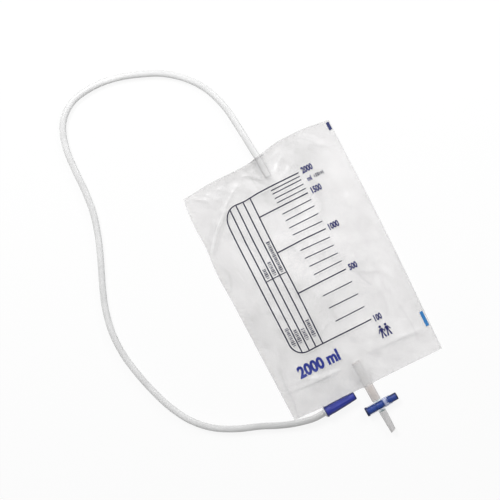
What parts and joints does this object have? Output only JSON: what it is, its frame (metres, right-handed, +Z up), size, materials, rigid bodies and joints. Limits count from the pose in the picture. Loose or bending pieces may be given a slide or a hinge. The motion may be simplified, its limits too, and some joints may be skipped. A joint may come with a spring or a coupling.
{
  "type": "urine drainage bag",
  "caption": "Flat welded-film drainage bag with a long inlet tube ending in a capped stepped connector, and an outlet tube with a push-pull cross valve and spout.",
  "frame": {"origin": "on the surface that the bag lies on, under the middle of the bag with its outlet, the free inlet tube and its connector left out", "axes": "+Y along the bag towards its top edge, where the inlet tube enters, +X across it to the scale's numerals, +Z up through the printed front film"},
  "size_m": [0.3522, 0.5333, 0.0138],
  "materials": {
    "film": "soft milky film, satin, wrinkled",
    "flap_film": "soft milky film, satin",
    "clear_tube": "soft translucent tube, smooth",
    "connector": "translucent hard moulding",
    "blue_cap": "satin moulded blue",
    "outlet_tube": "soft translucent tube, warm grey",
    "spout": "soft translucent tube, grey",
    "valve_clear": "clear hard moulding",
    "blue_plunger": "satin moulded dark blue",
    "seal": "black rubber ring"
  },
  "bodies": {
    "bag": {"back_film": "film", "front_film": "film", "check_valve_back": "flap_film", "check_valve_front": "flap_film", "inlet_tube": "clear_tube", "inlet_connector": "connector", "outlet_tube": "outlet_tube", "outlet_spout": "spout", "valve_body": "valve_clear"},
    "plunger": {"valve_plunger": "blue_plunger", "plunger_seal_1": "seal", "plunger_seal_2": "seal", "plunger_seal_3": "seal"},
    "cap": {"connector_cap": "blue_cap"}
  },
  "joints": [
    {"name": "plunger_slide", "type": "slide", "parent": "bag", "child": "plunger", "axis": [-0.9989, -0.0471, 0], "range_m": [0, 0.0082]},
    {"name": "cap_pull", "type": "slide", "parent": "bag", "child": "cap", "axis": [0.9984, 0.0558, 0], "range_m": [0, 0.012]}
  ]
}
